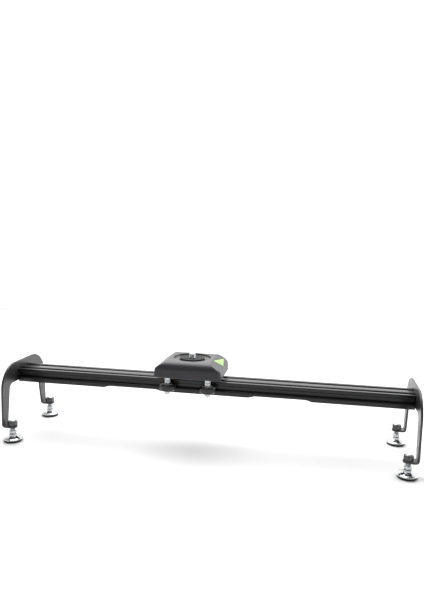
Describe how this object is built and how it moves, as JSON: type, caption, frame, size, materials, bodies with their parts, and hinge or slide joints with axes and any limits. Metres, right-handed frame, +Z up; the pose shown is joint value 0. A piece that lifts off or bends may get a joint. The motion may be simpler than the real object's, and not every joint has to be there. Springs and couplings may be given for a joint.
{
  "type": "camera slider",
  "caption": "Camera slider: extruded rail on two arched end brackets with levelling feet, and a wheeled carriage with a camera screw and bubble level.",
  "frame": {"origin": "on the floor, below the middle of the rail", "axes": "+X along the rail to its right end, +Z up, -Y towards the front"},
  "size_m": [0.6126, 0.1532, 0.1398],
  "materials": {
    "anodised_rail": "black anodised, satin, drawn lines along its length",
    "powder_coated_steel": "black powder coat, satin",
    "moulded_cover": "charcoal ABS, fine moulded texture",
    "plate_aluminium": "anodised dark grey plate",
    "level_acrylic": "clear acrylic with green fluid",
    "black_rubber": "matt, moulded",
    "chromed_zinc": "polished, chrome plated",
    "black_oxide_steel": "black oxide, slightly glossy",
    "black_acetal": "machined acetal, satin",
    "bearing_steel": "ground bearing steel",
    "bright_zinc_steel": "bright zinc plated"
  },
  "bodies": {
    "frame": {"rail": "anodised_rail", "left_bracket": "powder_coated_steel", "right_bracket": "powder_coated_steel", "left_front_end_screw": "black_oxide_steel", "left_front_foot_nut": "black_oxide_steel", "left_back_end_screw": "black_oxide_steel", "left_back_foot_nut": "black_oxide_steel", "right_front_end_screw": "black_oxide_steel", "right_front_foot_nut": "black_oxide_steel", "right_back_end_screw": "black_oxide_steel", "right_back_foot_nut": "black_oxide_steel"},
    "carriage": {"carriage_plate": "plate_aluminium", "carriage_cover": "moulded_cover", "bubble_level": "level_acrylic", "camera_screw": "bright_zinc_steel", "camera_screw_nut": "bright_zinc_steel", "camera_seat": "black_rubber", "left_front_axle_bolt": "bright_zinc_steel", "left_front_upper_nut": "bright_zinc_steel", "left_front_spacer_nut": "bright_zinc_steel", "left_front_lower_nut": "bright_zinc_steel", "left_back_axle_bolt": "bright_zinc_steel", "left_back_upper_nut": "bright_zinc_steel", "left_back_spacer_nut": "bright_zinc_steel", "left_back_lower_nut": "bright_zinc_steel", "right_front_axle_bolt": "bright_zinc_steel", "right_front_upper_nut": "bright_zinc_steel", "right_front_spacer_nut": "bright_zinc_steel", "right_front_lower_nut": "bright_zinc_steel", "right_back_axle_bolt": "bright_zinc_steel", "right_back_upper_nut": "bright_zinc_steel", "right_back_spacer_nut": "bright_zinc_steel", "right_back_lower_nut": "bright_zinc_steel"},
    "left_front_foot": {"left_front_foot_disc": "chromed_zinc", "left_front_foot_pad": "black_rubber"},
    "left_back_foot": {"left_back_foot_disc": "chromed_zinc", "left_back_foot_pad": "black_rubber"},
    "right_front_foot": {"right_front_foot_disc": "chromed_zinc", "right_front_foot_pad": "black_rubber"},
    "right_back_foot": {"right_back_foot_disc": "chromed_zinc", "right_back_foot_pad": "black_rubber"},
    "left_front_stud": {"left_front_foot_stud": "bright_zinc_steel"},
    "left_back_stud": {"left_back_foot_stud": "bright_zinc_steel"},
    "right_front_stud": {"right_front_foot_stud": "bright_zinc_steel"},
    "right_back_stud": {"right_back_foot_stud": "bright_zinc_steel"},
    "left_front_wheel": {"left_front_wheel": "black_acetal", "left_front_wheel_bearing_upper": "bearing_steel", "left_front_wheel_bearing_lower": "bearing_steel"},
    "left_back_wheel": {"left_back_wheel": "black_acetal", "left_back_wheel_bearing_upper": "bearing_steel", "left_back_wheel_bearing_lower": "bearing_steel"},
    "right_front_wheel": {"right_front_wheel": "black_acetal", "right_front_wheel_bearing_upper": "bearing_steel", "right_front_wheel_bearing_lower": "bearing_steel"},
    "right_back_wheel": {"right_back_wheel": "black_acetal", "right_back_wheel_bearing_upper": "bearing_steel", "right_back_wheel_bearing_lower": "bearing_steel"}
  },
  "joints": [
    {"name": "carriage_slide", "type": "slide", "parent": "frame", "child": "carriage", "axis": [1, 0, 0], "range_m": [-0.2258, 0.2728]},
    {"name": "left_front_wheel_spin", "type": "hinge", "parent": "carriage", "child": "left_front_wheel", "pos_m": [-0.05385, -0.03072, 0.0932], "axis": [0, 0, 1], "range_deg": [-1500, 1500]},
    {"name": "left_back_wheel_spin", "type": "hinge", "parent": "carriage", "child": "left_back_wheel", "pos_m": [-0.05385, 0.03072, 0.0932], "axis": [0, 0, 1], "range_deg": [-1500, 1500]},
    {"name": "right_front_wheel_spin", "type": "hinge", "parent": "carriage", "child": "right_front_wheel", "pos_m": [0.00685, -0.03072, 0.0932], "axis": [0, 0, 1], "range_deg": [-1500, 1500]},
    {"name": "right_back_wheel_spin", "type": "hinge", "parent": "carriage", "child": "right_back_wheel", "pos_m": [0.00685, 0.03072, 0.0932], "axis": [0, 0, 1], "range_deg": [-1500, 1500]},
    {"name": "left_front_foot_height", "type": "slide", "parent": "frame", "child": "left_front_foot", "axis": [0, 0, 1], "range_m": [-0.004, 0.004]},
    {"name": "left_front_stud_turn", "type": "hinge", "parent": "left_front_foot", "child": "left_front_stud", "pos_m": [-0.2895, -0.0618, 0], "axis": [0, 0, 1], "range_deg": [-1200, 1200]},
    {"name": "left_back_foot_height", "type": "slide", "parent": "frame", "child": "left_back_foot", "axis": [0, 0, 1], "range_m": [-0.004, 0.004]},
    {"name": "left_back_stud_turn", "type": "hinge", "parent": "left_back_foot", "child": "left_back_stud", "pos_m": [-0.2895, 0.0618, 0], "axis": [0, 0, 1], "range_deg": [-1200, 1200]},
    {"name": "right_front_foot_height", "type": "slide", "parent": "frame", "child": "right_front_foot", "axis": [0, 0, 1], "range_m": [-0.004, 0.004]},
    {"name": "right_front_stud_turn", "type": "hinge", "parent": "right_front_foot", "child": "right_front_stud", "pos_m": [0.2895, -0.0618, 0], "axis": [0, 0, 1], "range_deg": [-1200, 1200]},
    {"name": "right_back_foot_height", "type": "slide", "parent": "frame", "child": "right_back_foot", "axis": [0, 0, 1], "range_m": [-0.004, 0.004]},
    {"name": "right_back_stud_turn", "type": "hinge", "parent": "right_back_foot", "child": "right_back_stud", "pos_m": [0.2895, 0.0618, 0], "axis": [0, 0, 1], "range_deg": [-1200, 1200]}
  ],
  "couplings": [
    {"joint": "left_front_wheel_spin", "follows": "carriage_slide", "rad_per_m": 90.09},
    {"joint": "left_back_wheel_spin", "follows": "carriage_slide", "rad_per_m": -90.09},
    {"joint": "right_front_wheel_spin", "follows": "carriage_slide", "rad_per_m": 90.09},
    {"joint": "right_back_wheel_spin", "follows": "carriage_slide", "rad_per_m": -90.09},
    {"joint": "left_front_stud_turn", "follows": "left_front_foot_height", "rad_per_m": 5026.5},
    {"joint": "left_back_stud_turn", "follows": "left_back_foot_height", "rad_per_m": 5026.5},
    {"joint": "right_front_stud_turn", "follows": "right_front_foot_height", "rad_per_m": 5026.5},
    {"joint": "right_back_stud_turn", "follows": "right_back_foot_height", "rad_per_m": 5026.5}
  ]
}
